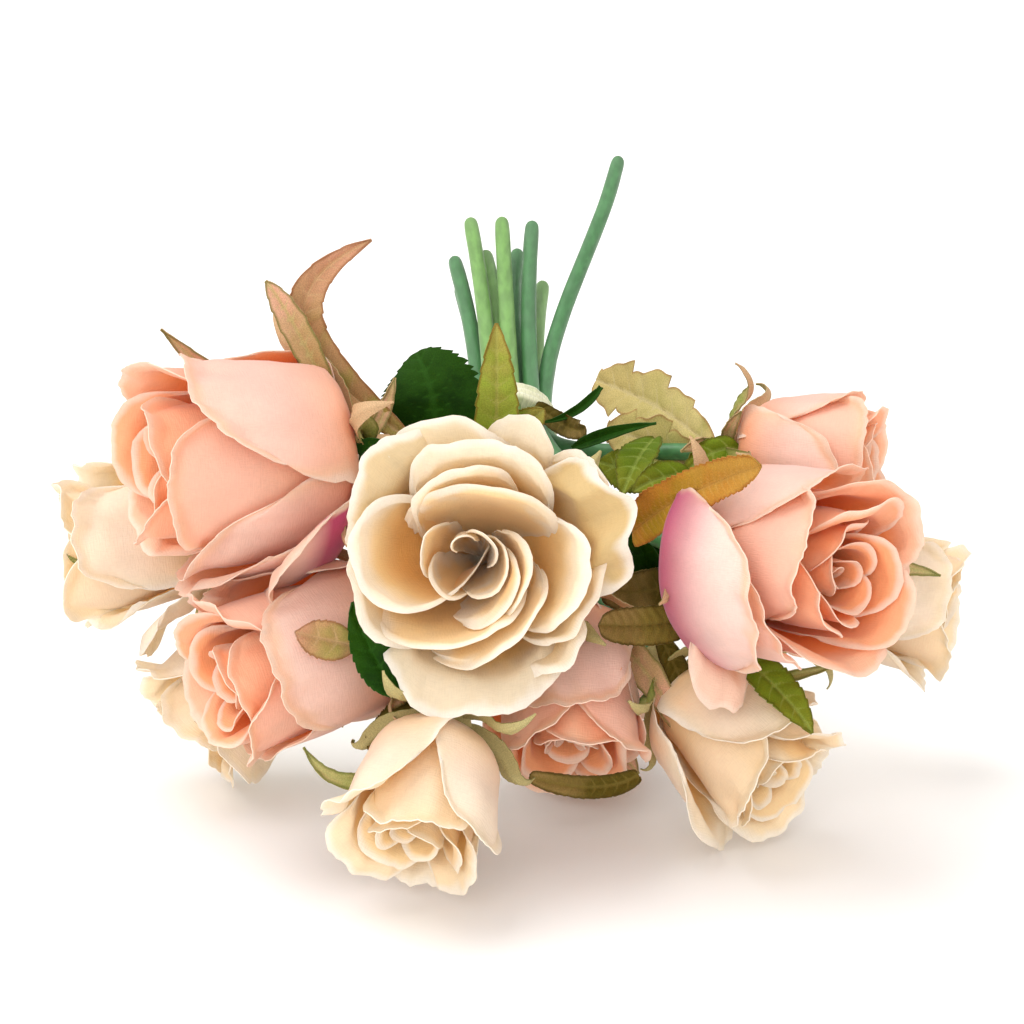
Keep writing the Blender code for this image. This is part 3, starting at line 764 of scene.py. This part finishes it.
add_leaf("back_tan_leaf", (-0.5, 0.8, 0.2), "tan", LOBED_LEAF, [
    Leaflet((9.4, -0.8, -2.6), (-1.2, -2.2, 0.7), 1.05, 0.4, (-0.3, -0.8, 0.5)),
    Leaflet((5.9, -0.6, -11.0), (1.1, -33.3, -5.8), 0.9, 0.5, (0, -0.8, 0.5), tone=1),
], 8)
add_leaf("golden_leaf", (0.4, -0.7, 0.5), "golden", RIBBED_LEAF, [
    Leaflet((-6.5, -14.5, 3.7), (0.2, -12.9, 4.9), 0.85, 0.3, (-0.4, -0.8, 0.3)),
], 9)
add_leaf("strip_leaf", (-0.4, -0.9, -0.1), "brown", BLUNT_LEAF, [
    Leaflet((6.8, -14.9, -13.5), (-0.9, 7.3, -5.7), 0.72, 0.1, (0, -0.9, 0.3), tone=-0.15),
    Leaflet((0.1, -4.9, -22.8), (24.7, 22.3, -39.3), 0.5, 0.3, (0, -0.9, 0.3), tone=1),
    Leaflet((9.6, 19.8, -13.6), (0.5, 41.9, -8.6), 0.8, 0.2, (0, -0.9, 0.3), tone=1),
    Leaflet((-32.9, 64.8, 21.6), (-3.0, 79.9, 25.5), 0.42, 0.3, (0, -0.9, 0.3), tone=1),
    Leaflet((-6.6, -30.2, -51.0), (-18.4, 1.9, -45.2), 0.42, 0.3, (0, -0.9, 0.3), tone=1),
    Leaflet((-63.8, -22.2, -30.0), (-60.0, 3.9, -38.2), 0.8, 0.2, (-0.3, -0.9, 0.3), tone=0.1),
], 10)
add_leaf("curled_leaf", (0.2, 0, 1), "russet", CURLED_LEAF, [
    Leaflet(width=1.2),
    Leaflet((-12.3, -53.1, -38.7), (-17.1, -66.6, -85.1), 1.1, 0.1, (0, -0.9, 0.3)),
], 11)


# ----------------------------------------------------------------------------
# The calyxes. Under each bloom a small moulded hip grips the stem, and five cloth sepals spring from it,
# green at the foot and dyed tan or pink at the tip, pressed to the petals and curled away at their ends.
# ----------------------------------------------------------------------------
SEPALS = 5
SEPAL_CLOTH = 0.35           # thickness, mm
SEPAL_ROWS = 32
LONG_SEPAL_ROWS = 48
SEPAL_COLUMNS = 9
SEPAL_START = (3.5, -2.5)    # where a sepal leaves the hip: out from the axis and along it, mm
SEPAL_HEADING = 35           # and how steeply it does, degrees
SEPAL_SETTLING = 0.12        # how much of the way to the petals' own slope it turns at each step
LONG_SEPAL_START = 3         # how far below the bloom's foot the longer sepals start, mm
SPINE_STEPS = 160
HIP_WALL = 0.6               # thickness, mm
HIP_CORNERS = 25
SEPAL_CUT = Cut(0.34, 0.85, 0, 0.0, 3.0, 0.25, 0.4, 0.3)
LONG_SEPAL_CUT = Cut(0.55, 0.80, 7, 0.10, 3.5, 0.35, 0.6, 0.5)

# The hip's outline from the stem up: its radius and how far it lies along the axis, in mm.
HIP = [
    (2.7, -12.0), (3.9, -12.0), (4.0, -9.5), (3.3, -8.0), (4.6, -5.0), (6.2, -2.0), (5.2, 0.2), (2.0, 0.5),
]

# A sepal: where it lies round the bloom, in degrees; its length and half its width, in mm; where it
# leaves the petals, as a share of its length; how far it then turns outwards, in degrees; and how far it
# sways to one side.
Sepal = namedtuple("Sepal", "turn length half_width peel curl twist")


def sepal_spine(sepal, radius, height, ways, foot):
    """The line of a sepal, from the hip up the outside of the bloom and then away from it, and the way
    its front looks."""
    belly, bowl = 0.93 * radius + 1.0, 0.32 * height
    around = radians(sepal.turn)
    outward = ways[0] * sin(around) + ways[1] * cos(around)
    step = sepal.length / SPINE_STEPS
    place = np.array(SEPAL_START)
    heading = radians(SEPAL_HEADING)
    line = []
    for i in range(SPINE_STEPS + 1):
        line.append(place.copy())
        share = i / SPINE_STEPS
        part = min(place[0] / belly, 1)
        slope = np.arctan2(bowl * part, belly * np.sqrt(max(1 - part**2, 1e-4)))
        if share < sepal.peel:
            heading += (slope - heading) * SEPAL_SETTLING
        else:
            heading -= radians(sepal.curl) / (SPINE_STEPS * (1 - sepal.peel))
        place = place + step * np.array([cos(heading), sin(heading)])
    line = np.array(line)

    def spine(share):
        at = np.clip(share[:, 0], 0, 1) * SPINE_STEPS
        out = np.interp(at, np.arange(SPINE_STEPS + 1), line[:, 0])[:, None]
        rise = np.interp(at, np.arange(SPINE_STEPS + 1), line[:, 1])[:, None]
        sway = (sepal.twist * share**2 * sepal.length * 0.3) * np.cross(ways[2], outward)
        return foot + outward * out + ways[2] * rise + sway

    return spine, -outward * 0.3 - ways[2]


sepal_dyes = {
    "blush": leaf_material(
        "blush_sepal_cloth",
        main=(0.30, 0.33, 0.08), patch=(0.42, 0.28, 0.12), tip=(0.66, 0.36, 0.24),
        vein=(0.50, 0.42, 0.18), edge=(0.14, 0.14, 0.03), back=(0.55, 0.36, 0.20)),
    "cream": leaf_material(
        "cream_sepal_cloth",
        main=(0.26, 0.34, 0.07), patch=(0.36, 0.33, 0.10), tip=(0.55, 0.42, 0.20),
        vein=(0.46, 0.46, 0.18), edge=(0.13, 0.15, 0.03), back=(0.45, 0.38, 0.17)),
}


def calyx_turn(rose, ways, foot):
    """How far the first moulded sepal clockwise from the top lies round from it, in degrees."""
    corners = (node_points(rose + "_calyx") - foot) @ ways.T
    right, up, _ = corners[np.argmax(corners[:, 2])]
    return np.degrees(np.arctan2(right, up)) % (360 / SEPALS)


# Some sepals are longer leaves that stand free: their rose, where the tip lies from the bloom's foot and
# how far the middle bows out, in mm, half the width in mm, and how pink or tan they are, from -1 to 1.
LONG_SEPALS = [
    ("left_blush", (-23.5, 8.4, 44.2), (-2, 0, 7), 4.0, 0.3),
    ("left_blush", (-50.5, 3.4, 32.3), (-3, 6, -4), 3.0, 0.4),
    ("left_blush", (9.8, 13.4, 16.7), (1, 0, -2), 2.0, 0.6),
    ("left_blush", (-4.0, -17.0, 8.0), (4, -5, 6), 4.5, -0.4),
    ("back_right_blush", (2.5, -9.5, 14.7), (-2, -2, 0), 2.0, 0.6),
    ("back_right_blush", (-14.2, -21.5, 7.1), (0, 0, 2), 2.2, 0.2),
    ("far_left_cream", (-41.9, -17.1, -1.3), (0, -6, -8), 2.4, 0.5),
    ("low_left_blush", (-20.9, -29.7, 6.7), (5, -7, -2), 4.6, 0.5),
    ("bottom_left_cream", (-36.7, -6.3, -5.7), (-3, -5, -11), 2.2, -0.2),
    ("table_left_cream", (-26.3, -29.0, -14.7), (0, -4, 2), 5.0, 0.8),
    ("far_right_cream", (33.9, -25.1, 10.4), (0, -5, 5), 2.4, 0.0),
    ("bottom_right_cream", (44.0, -16.4, 10.5), (0, 0, -3), 1.8, -0.6),
    ("centre_blush", (31.6, -23.6, -30.5), (4, -4, 4), 4.5, 0.8),
    ("under_blush", (-13.7, -38.5, -33.2), (0, -8, -4), 4.0, 0.6),
    ("under_blush", (18.1, -28.5, -36.1), (0, -8, -4), 4.0, 0.3),
]


def add_calyx(rose, first, seed):
    """The hip and the sepals of one rose, whose sepals lie where the moulded ones do, from the moulded
    one with the number first on."""
    foot, ways, radius, height = bloom_seat(rose)
    rng = np.random.default_rng(seed)
    dye = rose.split("_")[-1]
    pile = new_pile()
    around = np.linspace(0, 2 * pi, HIP_CORNERS)[None, :]
    hip = np.array(HIP)
    ring, along = hip[:, :1], hip[:, 1:]
    points = np.stack([ring * np.sin(around), ring * np.cos(around), along + 0 * around], axis=2)
    marks = {
        "rise": 0.0,
        "from_edge": 5.0,
        "vein": 0.0,
        "tone": 0.0,
        "cloth_x": ring * around,
        "cloth_y": along + 0 * around,
    }
    add_sheet(pile, foot + points @ ways, HIP_WALL, marks)
    turn = calyx_turn(rose, ways, foot)
    for i in range(first, first + SEPALS):
        sepal = Sepal(
            turn=turn + 360 / SEPALS * i + rng.uniform(-6, 6),
            length=radius * rng.uniform(1.15, 1.45),
            half_width=radius * rng.uniform(0.15, 0.20),
            peel=rng.uniform(0.45, 0.75),
            curl=rng.uniform(40, 150),
            twist=rng.uniform(-1, 1),
        )
        spine, looks = sepal_spine(sepal, radius, height, ways, foot)
        points, marks = blade(spine, looks, sepal.half_width, SEPAL_CUT, rng, SEPAL_ROWS, SEPAL_COLUMNS)
        marks["tone"] = rng.uniform(-0.3, 0.3)
        add_sheet(pile, points, SEPAL_CLOTH, marks)
    for owner, tip, bow, half_width, tone in LONG_SEPALS:
        if owner != rose:
            continue
        hip_side = foot - ways[2] * LONG_SEPAL_START
        spine = bowed_spine(hip_side, hip_side + tip, np.array(bow))
        looks = np.array([0, -1, 0.3])
        points, marks = blade(
            spine, looks, half_width, LONG_SEPAL_CUT, rng, LONG_SEPAL_ROWS, SEPAL_COLUMNS)
        marks["tone"] = tone
        add_sheet(pile, points, SEPAL_CLOTH, marks)
    sheet_piece(rose + "_hip", pile, sepal_dyes[dye], [rose + "_calyx"])


# Each rose, and the number of its first sepal, counted clockwise from the top.
FIRST_SEPALS = {
    "front_cream": 1, "right_blush": 1, "left_blush": 3, "low_left_blush": 4, "centre_blush": 0,
    "back_right_blush": 4, "under_blush": 1, "far_left_cream": 0, "table_left_cream": 4,
    "bottom_left_cream": 2, "bottom_right_cream": 2, "far_right_cream": 2,
}
for seed, (rose, first) in enumerate(FIRST_SEPALS.items()):
    add_calyx(rose, first, 50 + seed)


# ----------------------------------------------------------------------------
# The tape. Pale crimped paper tape, waxed so that it sticks to itself, is wound three times round all
# the stems where they cross, and pressed down over the gaps between them.
# ----------------------------------------------------------------------------
TAPE = 0.5                   # thickness, mm
TAPE_TURNS = 3
TAPE_ROWS = 48
TAPE_COLUMNS = 145
TAPE_ROUND = 13              # the band's rough radius, by which lengths round the tape are taken, mm


def tape_material():
    """Waxed crepe paper: fine crimps along the roll, and a thin green stain from the stems."""
    material, tree, shader = new_material("crimped_tape")
    place = add_node(tree, "NewGeometry").outputs["Position"]
    crimps = cloth_noise(tree, (2.6, 0.35), 3.0)
    stains = noise(tree, place, 160.0, 3.0)
    colour = mix_colours(tree, fade(tree, stains, 0.40, 0.70), (0.74, 0.73, 0.50), (0.48, 0.56, 0.28))
    lap_edge = fade(tree, cloth_mark(tree, "from_edge"), 0.8, 0.1, 0.0, 0.6)
    colour = mix_colours(tree, lap_edge, colour, (0.86, 0.85, 0.70))
    colour = shaded(tree, colour, fade(tree, crimps, 0.3, 0.7, 0.84, 1.08))
    add_finish(tree, shader, colour, crimps, 0.6, 0.4)
    shader.inputs["Roughness"].default_value = 0.55
    return material


# The band's outline round the stems, from the moulded band.
corners = node_points("stem_band")
middle = corners.mean(0)
tape_ways = np.linalg.svd(corners - middle, full_matrices=False)[2]
tape_ways[2] *= np.sign(tape_ways[2][2])
sides = (corners - middle) @ tape_ways.T
round_band = np.arctan2(sides[:, 1], sides[:, 0])
band_reach = np.hypot(sides[:, 0], sides[:, 1])
band_height = np.ptp(sides[:, 2])
angle = np.linspace(0, 2 * pi, TAPE_COLUMNS)
outline = np.array([band_reach[np.cos(round_band - turn) > cos(radians(14))].max() for turn in angle])

# The tape's rows run out along the band's lower end, up its outside and in over its upper end. Each lap
# stands out a little from the last, and the crimps from both.
share = np.linspace(0, 1, TAPE_ROWS)[:, None]
reach = np.interp(share, [0, 0.12, 0.16, 0.64, 0.70, 1], [0.60, 0.96, 1.0, 1.0, 0.94, 0.02])
level = np.interp(share, [0, 0.14, 0.67, 0.85, 1], [-0.50, -0.50, 0.50, 0.46, 0.50])
lap = (TAPE_TURNS * (level + 0.5) + angle[None, :] / (2 * pi)) % 1
rng = np.random.default_rng(90)
crimp = waves(angle * TAPE_ROUND, level * band_height, 3, rng)
reach = (outline - 0.9) * reach + (0.5 * lap + 0.2 * crimp) * (reach > 0.9)
height = level * band_height + 0.5 * waves(angle * TAPE_ROUND, reach, 5, rng) * (share > 0.7)
points = np.stack([reach * np.cos(angle), reach * np.sin(angle), height], axis=2)
points[:, -1] = points[:, 0]
pile = new_pile()
add_sheet(pile, middle + points @ tape_ways, TAPE, {
    "from_edge": (1 - lap) * band_height / TAPE_TURNS,
    "cloth_x": angle * TAPE_ROUND + 0 * share,
    "cloth_y": share * 2 * band_height + 0 * angle,
})
sheet_piece("stem_tape", pile, tape_material(), ["stem_band"])


# ----------------------------------------------------------------------------
# The table, the light and the camera. The bunch lies on a matt white table top in a white room, under
# two wide soft lights, one in front of it and one above.
# ----------------------------------------------------------------------------
TABLE_SIDE = 8               # metres
ROOM_LIGHT = 0.90
LENS = 97.7                  # mm, on a sensor 36 mm wide
CAMERA_PLACE = (-0.0015, -0.7649, 0.3139)
CAMERA_TILT = 72             # degrees up from straight down

table_material, tree, shader = new_material("white_table")
shader.inputs["Base Color"].default_value = (0.965, 0.96, 0.955, 1)
shader.inputs["Roughness"].default_value = 0.6
bpy.ops.mesh.primitive_plane_add(size=TABLE_SIDE)
table = bpy.context.object
table.name = "table_top"
table.data.materials.append(table_material)

world = bpy.data.worlds.new("soft_white_room")
bpy.context.scene.world = world
world.use_nodes = True
world.node_tree.nodes["Background"].inputs["Color"].default_value = (1, 0.985, 0.97, 1)
world.node_tree.nodes["Background"].inputs["Strength"].default_value = ROOM_LIGHT


def add_sky_panel(name, way, spread, power, colour):
    """A far soft light that shines from this way, over a spread of so many degrees."""
    data = bpy.data.lights.new(name, "SUN")
    data.energy = power
    data.angle = radians(spread)
    data.color = colour
    lamp = bpy.data.objects.new(name, data)
    lamp.location = way
    lamp.rotation_euler = Vector(way).to_track_quat("Z", "Y").to_euler()
    bpy.context.scene.collection.objects.link(lamp)


add_sky_panel("front_light", (-0.20, -0.92, 0.42), spread=40, power=1.20, colour=(1, 0.99, 0.97))
add_sky_panel("top_light", (-0.45, 0.05, 0.90), spread=45, power=1.55, colour=(1, 0.99, 0.98))

camera = bpy.data.objects.new("camera", bpy.data.cameras.new("camera"))
camera.data.lens = LENS
camera.data.sensor_width = 36
camera.location = CAMERA_PLACE
camera.rotation_euler = (radians(CAMERA_TILT), 0, 0)
bpy.context.scene.collection.objects.link(camera)
bpy.context.scene.camera = camera
bpy.context.scene.view_settings.view_transform = "Standard"
